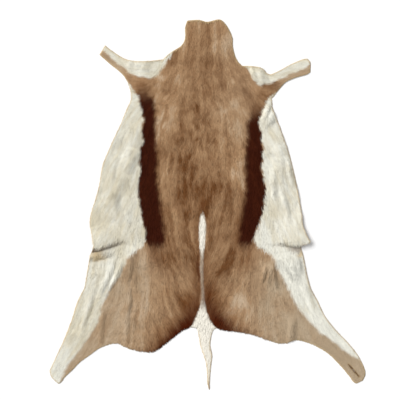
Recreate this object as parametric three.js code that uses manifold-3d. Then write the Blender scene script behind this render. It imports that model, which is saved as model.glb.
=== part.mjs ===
import * as THREE from "three";
import { mergeVertices } from "three/addons/utils/BufferGeometryUtils.js";
import Module from "manifold-3d";

// Springbok hide: one cut skin with the hair on, laid flat with the hair side up.
// Millimetres, +Z up, +Y towards the neck. The origin is the centre of the underside.

// Driving sizes
const HIDE_LENGTH = 1110; // neck edge to tail tip
const HIDE_WIDTH = 948; // across the spread hind legs
const RIM_THICKNESS = 3; // skin with its hair lying flat at a cut edge
const BODY_THICKNESS = 6; // skin with the full pile of the back
const PILE_RUN = 45; // distance in from the rim over which the pile reaches its full depth
const GRID_STEP = 19; // spacing of the sheet's surface points
const TUCK_STEP = 6.5; // closer spacing of rows across the two flank tucks
const TUCK_BAND = { from: -176, to: -84 }; // where those tucks lie along the hide
const EDGE_STEP = 9; // spacing of points along the cut edge
const SAME_PLACE = 0.5; // points of an edge nearer than this are one
const CUTTER = { low: -40, high: 80 }; // reach of an upright cutter below and above the hide
const SLIT = { fromX: 422, fromY: -478, toX: 454, toY: -516, width: 2.6 }; // cut in one hind leg

// The neck's cut edge, left to right
const NECK_EDGE = [
  { x: -60, y: 549 },
  { x: -24, y: 551 },
  { x: -1, y: 545 },
  { x: 16, y: 549 },
  { x: 36, y: 553 },
  { x: 46, y: 548 },
];

// Sections across neck, chest, flanks and thighs: where each meets the left and right edge
const TRUNK_SECTIONS = [
  { y: 532, left: -66, right: 59 },
  { y: 496, left: -67, right: 75 },
  { y: 476, left: -76, right: 75 },
  { y: 452, left: -112, right: 80 },
  { y: 428, left: -138, right: 90 },
  { y: 374, left: -184, right: 150 },
  { y: 316, left: -226, right: 192 },
  { y: 284, left: -242, right: 196 },
  { y: 242, left: -258, right: 212 },
  { y: 206, left: -275, right: 225 },
  { y: 148, left: -301, right: 245 },
  { y: 110, left: -315, right: 255 },
  { y: 58, left: -323, right: 266 },
  { y: 14, left: -335, right: 274 },
  { y: -28, left: -348, right: 282 },
  { y: -62, left: -352, right: 285 },
  { y: -98, left: -345, right: 298 },
  { y: -117, left: -342, right: 309 },
  { y: -128, left: -340, right: 280 },
  { y: -154, left: -350, right: 286 },
  { y: -214, left: -361, right: 298 },
  { y: -254, left: -369, right: 309 },
  { y: -286, left: -386, right: 327 },
  { y: -322, left: -397, right: 344 },
];

// The rump's hem, left to right between the hind legs
const HEM = [
  { x: -271, y: -418 },
  { x: -230, y: -436 },
  { x: -182, y: -445 },
  { x: -158, y: -443 },
  { x: -120, y: -416 },
  { x: -100, y: -400 },
  { x: -69, y: -378 },
  { x: -39, y: -372 },
  { x: 21, y: -376 },
  { x: 64, y: -382 },
  { x: 122, y: -390 },
  { x: 190, y: -412 },
  { x: 220, y: -420 },
  { x: 266, y: -408 },
];

// Sections across each leg, from inside the body out to the tip
const LEFT_FORELEG = [
  { outerX: -134, outerY: 433, innerX: -230, innerY: 275 },
  { outerX: -195, outerY: 427, innerX: -232, innerY: 337 },
  { outerX: -242, outerY: 433, innerX: -250, innerY: 383 },
  { outerX: -283, outerY: 457, innerX: -292, innerY: 420 },
  { outerX: -307, outerY: 476, innerX: -324, innerY: 448 },
];
const RIGHT_FORELEG = [
  { outerX: 70, outerY: 402, innerX: 140, innerY: 287 },
  { outerX: 104, outerY: 413, innerX: 172, innerY: 297 },
  { outerX: 164, outerY: 406, innerX: 194, innerY: 315 },
  { outerX: 183, outerY: 388, innerX: 216, innerY: 343 },
  { outerX: 212, outerY: 398, innerX: 236, innerY: 366 },
  { outerX: 255, outerY: 421, innerX: 262, innerY: 378 },
  { outerX: 300, outerY: 435, innerX: 302, innerY: 390 },
  { outerX: 310, outerY: 422, innerX: 309, innerY: 396 },
];
const LEFT_HIND_LEG = [
  { outerX: -369, outerY: -254, innerX: -218, innerY: -437 },
  { outerX: -388, outerY: -291, innerX: -271, innerY: -419 },
  { outerX: -406, outerY: -348, innerX: -320, innerY: -431 },
  { outerX: -429, outerY: -406, innerX: -353, innerY: -453 },
  { outerX: -452, outerY: -456, innerX: -383, innerY: -475 },
  { outerX: -467, outerY: -488, innerX: -406, innerY: -499 },
  { outerX: -472, outerY: -501, innerX: -428, innerY: -519 },
  { outerX: -465, outerY: -522, innerX: -435, innerY: -531 },
  { outerX: -454, outerY: -533, innerX: -446, innerY: -539 },
];
const RIGHT_HIND_LEG = [
  { outerX: 309, outerY: -254, innerX: 232, innerY: -420 },
  { outerX: 327, outerY: -286, innerX: 266, innerY: -409 },
  { outerX: 352, outerY: -337, innerX: 307, innerY: -418 },
  { outerX: 387, outerY: -381, innerX: 339, innerY: -433 },
  { outerX: 417, outerY: -412, innerX: 364, innerY: -450 },
  { outerX: 442, outerY: -442, innerX: 387, innerY: -473 },
  { outerX: 458, outerY: -468, innerX: 410, innerY: -498 },
  { outerX: 471, outerY: -498, innerX: 428, innerY: -521 },
  { outerX: 472, outerY: -513, innerX: 436, innerY: -533 },
  { outerX: 464, outerY: -530, innerX: 447, innerY: -538 },
];

// Sections across the tail, root to tip
const TAIL = [
  { y: -346, left: -40, right: 26 },
  { y: -376, left: -30, right: 19 },
  { y: -392, left: -26, right: 12 },
  { y: -422, left: -22, right: 8 },
  { y: -442, left: -15, right: 12 },
  { y: -454, left: -10, right: 14 },
  { y: -476, left: -4, right: 11 },
  { y: -506, left: -1, right: 8 },
  { y: -536, left: 0, right: 6 },
  { y: -555, left: 4, right: 6 },
];

// Folds and creases that lift the skin off the floor: the run of each crest, its height,
// the half width of its rise and, on a tuck, how far the crest leans over towards the tail
const FOLDS = [
  { name: "left flank tuck", fromX: -352, fromY: -126, toX: -262, toY: -98, height: 13, spread: 21, lean: 8 },
  { name: "left tuck underside", fromX: -356, fromY: -158, toX: -290, toY: -136, height: 7, spread: 17 },
  { name: "right flank tuck", fromX: 312, fromY: -108, toX: 212, toY: -100, height: 16, spread: 24, lean: 10 },
  { name: "right flank pucker", fromX: 246, fromY: -152, toX: 268, toY: -226, height: 8, spread: 22 },
  { name: "right thigh crease", fromX: 196, fromY: -166, toX: 178, toY: -236, height: 6, spread: 22 },
  { name: "left thigh crease, upper", fromX: -230, fromY: -140, toX: -232, toY: -236, height: 7, spread: 30 },
  { name: "left thigh crease, lower", fromX: -232, fromY: -236, toX: -238, toY: -400, height: 6, spread: 28 },
  { name: "left flank crease, upper", fromX: -216, fromY: 232, toX: -215, toY: 170, height: 6, spread: 30 },
  { name: "left flank crease, middle", fromX: -215, fromY: 170, toX: -244, toY: 104, height: 8, spread: 32 },
  { name: "left flank crease, lower", fromX: -244, fromY: 104, toX: -298, toY: -2, height: 6, spread: 32 },
  { name: "right flank wave", fromX: 214, fromY: 196, toX: 222, toY: 46, height: 6, spread: 34 },
  { name: "right shoulder crease", fromX: 176, fromY: 248, toX: 200, toY: 272, height: 7, spread: 26 },
  { name: "left chest wave", fromX: -184, fromY: 440, toX: -186, toY: 400, height: 6, spread: 26 },
  { name: "right chest wave", fromX: 152, fromY: 412, toX: 164, toY: 376, height: 6, spread: 26 },
];

// The trough where the white crest hair lies between the brown hair of the back
const CREST = { x: -13, fromY: -20, toY: -360, depth: 1.6, spread: 13, run: 60 };

const wasm = await Module();
wasm.setup();

const smooth = (t) => THREE.MathUtils.smoothstep(t, 0, 1);

/** Turns a closed three.js geometry into a solid. */
function toSolid(geometry) {
  geometry.deleteAttribute("normal");
  geometry.deleteAttribute("uv");
  const merged = mergeVertices(geometry, 1e-4);
  const mesh = new wasm.Mesh({
    numProp: 3,
    vertProperties: new Float32Array(merged.attributes.position.array),
    triVerts: new Uint32Array(merged.index.array),
  });
  return new wasm.Manifold(mesh);
}

/** A smooth edge through hand-placed points, as evenly spaced points. */
function edge(points) {
  const spine = points.map((p) => new THREE.Vector3(p.x, p.y, 0));
  const curve = new THREE.CatmullRomCurve3(spine, false, "centripetal");
  const count = Math.max(2, Math.round(curve.getLength() / EDGE_STEP));
  return curve.getSpacedPoints(count).map((p) => new THREE.Vector2(p.x, p.y));
}

/** Joins edges end to end into one closed loop, leaving out points that fall together. */
function loop(...edges) {
  const points = edges.flat();
  return points.filter((p, i) => p.distanceTo(points[(i + 1) % points.length]) > SAME_PLACE);
}

/** The flat outlines of the body and its limbs. They overlap, and are joined as solids. */
function outlines() {
  const left = TRUNK_SECTIONS.map((s) => ({ x: s.left, y: s.y }));
  const right = TRUNK_SECTIONS.map((s) => ({ x: s.right, y: s.y }));
  const neckLeft = [NECK_EDGE[0], ...left];
  const neckRight = [NECK_EDGE[NECK_EDGE.length - 1], ...right];
  const trunk = loop(edge(NECK_EDGE), edge(neckRight), edge(HEM).reverse(), edge(neckLeft).reverse());
  const tail = loop(
    edge(TAIL.map((s) => ({ x: s.left, y: s.y }))),
    edge(TAIL.map((s) => ({ x: s.right, y: s.y }))).reverse(),
  );
  const legs = [LEFT_FORELEG, RIGHT_FORELEG, LEFT_HIND_LEG, RIGHT_HIND_LEG].map((leg) =>
    loop(
      edge(leg.map((s) => ({ x: s.outerX, y: s.outerY }))),
      edge(leg.map((s) => ({ x: s.innerX, y: s.innerY }))).reverse(),
    ),
  );
  return [trunk, tail, ...legs];
}

/** Scales the pattern to the driving length and width and centres it on the origin. */
function fitted(pieces) {
  const box = new THREE.Box2().setFromPoints(pieces.flat());
  const centre = box.getCenter(new THREE.Vector2());
  const size = box.getSize(new THREE.Vector2());
  const scale = new THREE.Vector2(HIDE_WIDTH / size.x, HIDE_LENGTH / size.y);
  return pieces.map((piece) => piece.map((p) => p.clone().sub(centre).multiply(scale)));
}

/** An upright prism with a flat outline, from below the hide to above it. */
function prism(points) {
  const geometry = new THREE.ExtrudeGeometry(new THREE.Shape(points), {
    depth: CUTTER.high - CUTTER.low,
    bevelEnabled: false,
    steps: 1,
  });
  geometry.translate(0, 0, CUTTER.low);
  return toSolid(geometry);
}

/** How far along and away from a fold's crest a place is, and its share of the fold's rise. */
function foldShare(fold, x, y) {
  const run = new THREE.Vector2(fold.toX - fold.fromX, fold.toY - fold.fromY);
  const length = run.length();
  const offset = new THREE.Vector2(x - fold.fromX, y - fold.fromY);
  const along = offset.dot(run) / (length * length);
  const away = offset.cross(run) / length;
  const ends = smooth(1 + (along * length) / fold.spread) * smooth(1 + ((1 - along) * length) / fold.spread);
  const across = smooth(1 - Math.abs(away) / fold.spread);
  return across * ends;
}

/** Lift of the skin off the floor and the lean of its crests at one place of the pattern. */
function drape(x, y) {
  let lift = 0;
  let lean = 0;
  for (const fold of FOLDS) {
    const share = foldShare(fold, x, y);
    lift = Math.max(lift, fold.height * share);
    lean = Math.max(lean, (fold.lean ?? 0) * share);
  }
  return { lift, lean };
}

/** Depth of skin and pile at one place: thin along the cut edge, fuller over the body. */
function thickness(x, y, rim) {
  let nearest = Infinity;
  for (const p of rim) nearest = Math.min(nearest, Math.hypot(p.x - x, p.y - y));
  const pile = RIM_THICKNESS + (BODY_THICKNESS - RIM_THICKNESS) * smooth(nearest / PILE_RUN);
  const crestEnds = smooth((CREST.fromY - y) / CREST.run) * smooth((y - CREST.toY) / CREST.run);
  const trough = CREST.depth * smooth(1 - Math.abs(x - CREST.x) / CREST.spread) * crestEnds;
  return pile - trough;
}

/** Row or column places from one end to the other, closer together inside a band. */
function stations(from, to, step, band, bandStep) {
  const places = [from];
  while (places[places.length - 1] < to) {
    const here = places[places.length - 1];
    places.push(here + (band && here > band.from && here < band.to ? bandStep : step));
  }
  return places;
}

/** The whole sheet before its outline is cut: a top skin over an underside, closed all round. */
function sheet(rim) {
  const margin = 2 * GRID_STEP;
  const columns = stations(-HIDE_WIDTH / 2 - margin, HIDE_WIDTH / 2 + margin, GRID_STEP);
  const rows = stations(-HIDE_LENGTH / 2 - margin, HIDE_LENGTH / 2 + margin, GRID_STEP, TUCK_BAND, TUCK_STEP);
  const upper = [];
  const under = [];
  for (const y of rows) {
    for (const x of columns) {
      const { lift, lean } = drape(x, y);
      upper.push(x, y - lean, lift + thickness(x, y, rim));
      under.push(x, y - lean, lift);
    }
  }
  const wide = columns.length;
  const tall = rows.length;
  const count = wide * tall;
  const faces = [];
  const quad = (a, b, c, d) => faces.push(a, b, c, a, c, d);
  for (let j = 0; j + 1 < tall; j++) {
    for (let i = 0; i + 1 < wide; i++) {
      const k = j * wide + i;
      quad(k, k + 1, k + wide + 1, k + wide);
      quad(count + k, count + k + wide, count + k + wide + 1, count + k + 1);
    }
  }
  for (let i = 0; i + 1 < wide; i++) {
    const far = (tall - 1) * wide + i;
    quad(count + i, count + i + 1, i + 1, i);
    quad(far, far + 1, count + far + 1, count + far);
  }
  for (let j = 0; j + 1 < tall; j++) {
    const near = j * wide;
    const off = near + wide - 1;
    quad(near, near + wide, count + near + wide, count + near);
    quad(count + off, count + off + wide, off + wide, off);
  }
  const geometry = new THREE.BufferGeometry();
  geometry.setAttribute("position", new THREE.Float32BufferAttribute([...upper, ...under], 3));
  geometry.setIndex(faces);
  return toSolid(geometry);
}

/** The narrow cut through one hind leg, as a prism to take away. */
function slit() {
  const run = new THREE.Vector2(SLIT.toX - SLIT.fromX, SLIT.toY - SLIT.fromY);
  const side = new THREE.Vector2(-run.y, run.x).setLength(SLIT.width / 2);
  const start = new THREE.Vector2(SLIT.fromX, SLIT.fromY);
  const end = new THREE.Vector2(SLIT.toX, SLIT.toY);
  const middle = start.clone().lerp(end, 0.5);
  return prism([start, middle.clone().sub(side), end, middle.clone().add(side)]);
}

/** A three.js geometry made from a finished solid. */
function toGeometry(solid) {
  const mesh = solid.getMesh();
  const geometry = new THREE.BufferGeometry();
  const places = [];
  for (let i = 0; i < mesh.numVert; i++) {
    places.push(...mesh.vertProperties.slice(i * mesh.numProp, i * mesh.numProp + 3));
  }
  geometry.setAttribute("position", new THREE.Float32BufferAttribute(places, 3));
  geometry.setIndex([...mesh.triVerts]);
  geometry.computeVertexNormals();
  return geometry;
}

/** Whether a point lies inside a closed loop. */
function insideLoop(p, points) {
  let inside = false;
  points.forEach((a, i) => {
    const b = points[(i + 1) % points.length];
    const crossing = ((b.x - a.x) * (p.y - a.y)) / (b.y - a.y) + a.x;
    if (a.y > p.y !== b.y > p.y && p.x < crossing) inside = !inside;
  });
  return inside;
}

/** The points of the outlines that are on the hide's own edge, not inside a neighbouring outline. */
function outerEdge(pieces) {
  const covered = (p, own) => pieces.some((piece, i) => i !== own && insideLoop(p, piece));
  return pieces.flatMap((piece, i) => piece.filter((p) => !covered(p, i)));
}

const pattern = fitted(outlines());
const [trunk, ...limbs] = pattern.map(prism);
const footprint = limbs.reduce((whole, limb) => whole.add(limb), trunk);
const solid = sheet(outerEdge(pattern)).intersect(footprint).subtract(slit());

const material = new THREE.MeshStandardMaterial({ color: 0xa07a55, roughness: 0.9, metalness: 0 });
material.name = "hair_on_hide";
const hide = new THREE.Mesh(toGeometry(solid), material);
hide.name = "hide";

const part = new THREE.Group();
part.name = "springbok_hide";
part.add(hide);

export default part;
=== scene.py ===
"""Springbok hide laid flat, hair side up: a thin skin on its folds and the hair that grows on it."""

from __future__ import annotations

import logging
import math
from collections import defaultdict
from dataclasses import dataclass, field
from enum import Enum
from typing import Any, Iterable

import bpy
import numpy as np
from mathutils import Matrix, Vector
from mathutils.geometry import delaunay_2d_cdt

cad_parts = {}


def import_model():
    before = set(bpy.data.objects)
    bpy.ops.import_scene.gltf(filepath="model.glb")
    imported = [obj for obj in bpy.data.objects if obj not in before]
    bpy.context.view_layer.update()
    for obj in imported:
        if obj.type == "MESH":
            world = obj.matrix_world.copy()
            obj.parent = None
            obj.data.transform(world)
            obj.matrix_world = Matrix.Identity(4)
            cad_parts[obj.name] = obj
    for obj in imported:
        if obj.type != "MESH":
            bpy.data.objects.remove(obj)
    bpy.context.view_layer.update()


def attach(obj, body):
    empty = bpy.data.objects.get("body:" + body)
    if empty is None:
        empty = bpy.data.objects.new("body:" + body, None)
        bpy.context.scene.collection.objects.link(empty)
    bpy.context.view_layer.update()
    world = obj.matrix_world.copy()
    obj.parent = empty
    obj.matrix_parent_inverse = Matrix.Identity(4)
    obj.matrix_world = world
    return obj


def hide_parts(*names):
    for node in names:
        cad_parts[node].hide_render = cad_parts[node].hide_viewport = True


LOG = logging.getLogger("springbok_hide")
MM = 0.001
# What the growing tree reads from the skin and no material does.
GROWTH_LAYERS = ("flow", "length", "tract")
Array = np.ndarray


def smooth(value: Array | float) -> Array:
    """Eases a value from 0 to 1, flat at both ends.

    Args:
        value: Share of the way, clipped to 0 and 1.

    Returns:
        The eased share.
    """
    share = np.clip(value, 0.0, 1.0)
    return share * share * (3.0 - 2.0 * share)


def crossing(distance: Array, width: Array | float, lead: float = 0.5) -> Array:
    """Eases from 0 to 1 across a soft edge.

    Args:
        distance: How far each place lies beyond the edge, in metres.
        width: Width over which the edge is soft, in metres.
        lead: Share already reached on the edge itself.

    Returns:
        The share at each place.
    """
    return smooth(lead + distance / width)


def lumps(places: Array, size: float, seed: int) -> Array:
    """Seeded smooth noise over the plan of the hide.

    Args:
        places: Plan places in metres, one row each.
        size: Width of one lump in metres.
        seed: Seed of the lattice, which also turns it.

    Returns:
        Noise from -1 to 1 at each place.
    """
    cells = 256
    lattice = np.random.default_rng(seed).uniform(-1.0, 1.0, (cells, cells))
    across, along = math.cos(seed), math.sin(seed)
    scaled = places @ np.array([[across, -along], [along, across]]) / size
    corner = np.floor(scaled).astype(int)
    part = smooth(scaled - corner)
    column, row = corner[:, 0] % cells, corner[:, 1] % cells
    next_column, next_row = (column + 1) % cells, (row + 1) % cells
    low = lattice[column, row] * (1 - part[:, 0]) + lattice[next_column, row] * part[:, 0]
    high = lattice[column, next_row] * (1 - part[:, 0]) + lattice[next_column, next_row] * part[:, 0]
    return low * (1 - part[:, 1]) + high * part[:, 1]


def nearness(places: Array, spots: Iterable[Any], soften: float) -> Array:
    """Share of each spot at each place, more for a nearer one.

    Args:
        places: Plan places in metres.
        spots: Rows with x and y in millimetres.
        soften: Distance in metres within which a spot gains little more.

    Returns:
        A row of shares for each place, which add up to 1.
    """
    at = np.array([(spot.x, spot.y) for spot in spots]) * MM
    away = np.hypot(places[:, None, 0] - at[None, :, 0], places[:, None, 1] - at[None, :, 1])
    share = 1.0 / (away + soften) ** 3
    return share / share.sum(axis=1, keepdims=True)


def linear(red: int, green: int, blue: int) -> tuple[float, float, float, float]:
    """Turns a screen colour into the linear colour that a shader takes.

    Args:
        red: Red from 0 to 255.
        green: Green from 0 to 255.
        blue: Blue from 0 to 255.

    Returns:
        The linear colour, with full alpha.
    """
    channels = [c / 255.0 for c in (red, green, blue)]
    curve = [c / 12.92 if c <= 0.04045 else ((c + 0.055) / 1.055) ** 2.4 for c in channels]
    return (curve[0], curve[1], curve[2], 1.0)


class Signal:
    """A number socket in a node tree, used in Python expressions that add Math nodes."""

    def __init__(self, bench: "NodeBench", socket: bpy.types.NodeSocket) -> None:
        """Wraps one output socket of a bench's tree."""
        self.bench = bench
        self.socket = socket

    def _math(self, operation: str, first: Any, second: Any) -> "Signal":
        """Adds one Math node on two values and wraps its result."""
        node = self.bench.node("ShaderNodeMath", {"operation": operation}, {0: first, 1: second})
        return Signal(self.bench, node.outputs[0])

    def __add__(self, other: Any) -> "Signal":
        """Sum with a number or another signal."""
        return self._math("ADD", self, other)

    def __sub__(self, other: Any) -> "Signal":
        """Difference from a number or another signal."""
        return self._math("SUBTRACT", self, other)

    def __mul__(self, other: Any) -> "Signal":
        """Product with a number or another signal."""
        return self._math("MULTIPLY", self, other)

    def __rsub__(self, other: Any) -> "Signal":
        """A number less this signal."""
        return self._math("SUBTRACT", other, self)

    __radd__ = __add__
    __rmul__ = __mul__


class NodeBench:
    """Builds nodes in one tree and links them."""

    def __init__(self, tree: bpy.types.NodeTree) -> None:
        """Keeps the tree that nodes are added to."""
        self.tree = tree

    def node(
        self,
        kind: str,
        settings: dict[str, Any] | None = None,
        sockets: dict[str | int, Any] | None = None,
    ) -> bpy.types.Node:
        """Adds one node.

        Args:
            kind: The node's type name.
            settings: Properties that are set before the sockets.
            sockets: Values, signals or output sockets for the inputs, by name or place.

        Returns:
            The new node.
        """
        node = self.tree.nodes.new(kind)
        for name, value in (settings or {}).items():
            setattr(node, name, value)
        for key, value in (sockets or {}).items():
            self.feed(node.inputs[key], value)
        return node

    def feed(self, socket: bpy.types.NodeSocket, value: Any) -> None:
        """Links an output to a socket, or sets the socket's own value.

        Args:
            socket: The input socket.
            value: A signal, an output socket or a plain value.
        """
        if isinstance(value, Signal):
            value = value.socket
        if isinstance(value, bpy.types.NodeSocket):
            self.tree.links.new(value, socket)
        else:
            socket.default_value = value

    def attribute(self, name: str) -> Signal:
        """A number that the mesh carries under a name."""
        node = self.node("ShaderNodeAttribute", {"attribute_name": name})
        return Signal(self, node.outputs["Fac"])

    def blend(self, share: Any, first: Any, second: Any, way: str = "MIX") -> bpy.types.NodeSocket:
        """Mixes two colours.

        Args:
            share: How much of the second colour shows.
            first: The first colour.
            second: The second colour.
            way: The blend mode.

        Returns:
            The mixed colour's socket.
        """
        # The colour sockets come after the number and vector ones of the same names.
        node = self.node(
            "ShaderNodeMix", {"data_type": "RGBA", "blend_type": way}, {0: share, 6: first, 7: second}
        )
        return node.outputs[2]

    def noise(self, scale: float, detail: float, stretch: tuple[float, ...] = (1.0, 1.0, 1.0)) -> Signal:
        """Adds noise on Object coordinates.

        Args:
            scale: Lumps in a metre.
            detail: Octaves of finer noise.
            stretch: Scale along each axis.

        Returns:
            The noise, from 0 to 1.
        """
        place = self.node("ShaderNodeTexCoord").outputs["Object"]
        mapping = self.node("ShaderNodeMapping", None, {"Vector": place, "Scale": stretch})
        cloud = self.node(
            "ShaderNodeTexNoise", None, {"Vector": mapping.outputs[0], "Scale": scale, "Detail": detail}
        )
        return Signal(self, cloud.outputs["Fac"])


def new_material(name: str) -> tuple[bpy.types.Material, NodeBench, bpy.types.Node]:
    """Starts a node material.

    Args:
        name: The material's name.

    Returns:
        The material, a bench on its tree and its Principled node.
    """
    material = bpy.data.materials.new(name)
    material.use_nodes = True
    bench = NodeBench(material.node_tree)
    return material, bench, material.node_tree.nodes["Principled BSDF"]


@dataclass(frozen=True)
class CoatFinish:
    """The colours of the coat, mixed by the zones that the mesh carries."""

    name: str
    shade: float
    tan_dark: tuple[float, ...] = linear(112, 70, 36)
    tan_middle: tuple[float, ...] = linear(184, 146, 108)
    tan_light: tuple[float, ...] = linear(228, 206, 178)
    stripe: tuple[float, ...] = linear(56, 17, 3)
    stripe_sheen: tuple[float, ...] = linear(100, 48, 22)
    rust: tuple[float, ...] = linear(126, 76, 32)
    rump: tuple[float, ...] = linear(75, 25, 1)
    white: tuple[float, ...] = linear(246, 244, 231)
    # Darker, creamier white: partly the hair's own cream tint, partly painted shade.
    cream_tinted_shaded_white: tuple[float, ...] = linear(226, 217, 192)
    bright: tuple[float, ...] = linear(252, 246, 232)
    cream: tuple[float, ...] = linear(222, 196, 150)
    ash: tuple[float, ...] = linear(186, 167, 140)
    # Painted shadow under the lips of the tucks and in the slit.
    crease: tuple[float, ...] = linear(112, 80, 50)
    roughness: float = 0.7
    specular: float = 0.06
    grain_scale: float = 260.0
    grain_detail: float = 3.0
    grain_stretch: tuple[float, ...] = (1.0, 0.25, 1.0)
    grain_in_tone: float = 0.16
    tint_in_tone: float = 0.2
    sheen_share: float = 0.22
    bright_shade: float = 0.95
    base_level: float = 0.9
    grain_level: float = 0.08
    tint_level: float = 0.12
    white_dimmed: float = 0.05

    def material(self) -> bpy.types.Material:
        """Makes the coat's material.

        Returns:
            A material that reads the zones from the mesh's attributes.
        """
        material, bench, surface = new_material(self.name)
        grain = bench.noise(self.grain_scale, self.grain_detail, self.grain_stretch)
        names = ("tint", "dark", "bright", "white", "tone")
        tint, dark, bright, white, tone = (bench.attribute(name) for name in names)
        tone = tone + (grain - 0.5) * self.grain_in_tone + (tint - 0.5) * self.tint_in_tone
        ramp = bench.node("ShaderNodeValToRGB", None, {"Fac": tone})
        stops = ramp.color_ramp.elements
        stops[0].color = self.tan_dark
        stops[1].color = self.tan_light
        stops.new(0.5).color = self.tan_middle
        colour = bench.blend(bench.attribute("ash"), ramp.outputs["Color"], self.ash)
        # Dark brown hair, and the painted shadow along the crest's left edge.
        colour = bench.blend(dark, colour, bench.blend(dark, self.rust, self.rump))
        stripe = bench.blend(tint * tint * self.sheen_share, self.stripe, self.stripe_sheen)
        colour = bench.blend(bench.attribute("stripe"), colour, stripe)
        # Darker, creamier white, partly the hair's own tint and partly painted shade.
        pale = bench.blend(bench.attribute("soil"), self.white, self.cream_tinted_shaded_white)
        pale = bench.blend(bright, pale, self.bright)
        colour = bench.blend(white, colour, pale)
        colour = bench.blend(bench.attribute("cream"), colour, self.cream)
        # The crease layer paints shadow under the tucks' lips and in the slit.
        colour = bench.blend(bench.attribute("crease"), colour, self.crease)
        shade = bright * (self.bright_shade - self.shade) + self.shade
        plain = white - bright
        streaked = tint * (plain + 1.0) * self.tint_level - plain * self.white_dimmed
        level = (streaked + grain * self.grain_level + self.base_level) * shade
        grey = bench.node("ShaderNodeCombineColor", None, {"Red": level, "Green": level, "Blue": level})
        colour = bench.blend(1.0, colour, grey.outputs[0], "MULTIPLY")
        bench.feed(surface.inputs["Base Color"], colour)
        surface.inputs["Roughness"].default_value = self.roughness
        surface.inputs["Specular IOR Level"].default_value = self.specular
        return material


@dataclass(frozen=True)
class LeatherFinish:
    """Dressed leather: the suede flesh side, or the cut edge."""

    name: str
    colour: tuple[float, ...]
    worn: tuple[float, ...]
    roughness: float = 0.77
    roughness_swing: float = 0.15
    specular: float = 0.2
    cloud_scale: float = 14.0
    cloud_detail: float = 4.0
    nap_scale: float = 900.0
    nap_detail: float = 2.0
    nap_share: float = 0.3
    nap_depth: float = 0.6 * MM
    bump: float = 0.5

    def material(self) -> bpy.types.Material:
        """Makes a napped leather with cloudy wear.

        Returns:
            The material.
        """
        material, bench, surface = new_material(self.name)
        cloud = bench.noise(self.cloud_scale, self.cloud_detail)
        nap = bench.noise(self.nap_scale, self.nap_detail)
        wear = cloud * (1 - self.nap_share) + nap * self.nap_share
        bench.feed(surface.inputs["Base Color"], bench.blend(wear, self.colour, self.worn))
        bench.feed(surface.inputs["Roughness"], nap * self.roughness_swing + self.roughness)
        bump = bench.node(
            "ShaderNodeBump", None, {"Strength": self.bump, "Distance": self.nap_depth, "Height": nap}
        )
        bench.feed(surface.inputs["Normal"], bump.outputs[0])
        surface.inputs["Specular IOR Level"].default_value = self.specular
        return material


@dataclass(frozen=True)
class Cloud:
    """One noise over the plan: the width of its lumps in metres, its seed and its share."""

    size: float
    seed: int
    share: float = 1.0

    def at(self, places: Array) -> Array:
        """The noise at each place, from minus its share to its share."""
        return self.share * lumps(places, self.size, self.seed)


@dataclass(frozen=True)
class Streak:
    """One noise drawn out along the hair: width in metres, reach each way in widths, seed and share."""

    size: float
    steps: int
    seed: int
    share: float


@dataclass(frozen=True)
class Fold:
    """One fold or crease, in millimetres.

    It has its crest's run, its rise, half width and lean, a half width of its own on the neck's side
    where that differs, and the share of its length over which each end dies out.
    """

    name: str
    from_x: float
    from_y: float
    to_x: float
    to_y: float
    height: float
    spread: float
    lean: float = 0.0
    upper_spread: float | None = None
    taper: float = 0.45

    def share(self, places: Array) -> Array:
        """Share of the fold's rise at each place.

        Args:
            places: Plan places in metres.

        Returns:
            0 away from the fold, 1 on its crest.
        """
        start = np.array([self.from_x, self.from_y]) * MM
        run = np.array([self.to_x, self.to_y]) * MM - start
        length = float(np.hypot(*run))
        offset = places - start
        along = offset @ run / length
        away = (offset[:, 0] * run[1] - offset[:, 1] * run[0]) / length
        spread = self.spread * MM
        taper = spread + self.taper * length
        ends = smooth((along + spread) / taper) * smooth((length - along + spread) / taper)
        towards_neck = away * run[0] < 0
        reach = np.where(towards_neck, (self.upper_spread or self.spread) * MM, spread)
        return smooth(1 - np.abs(away) / reach) * ends


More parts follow.
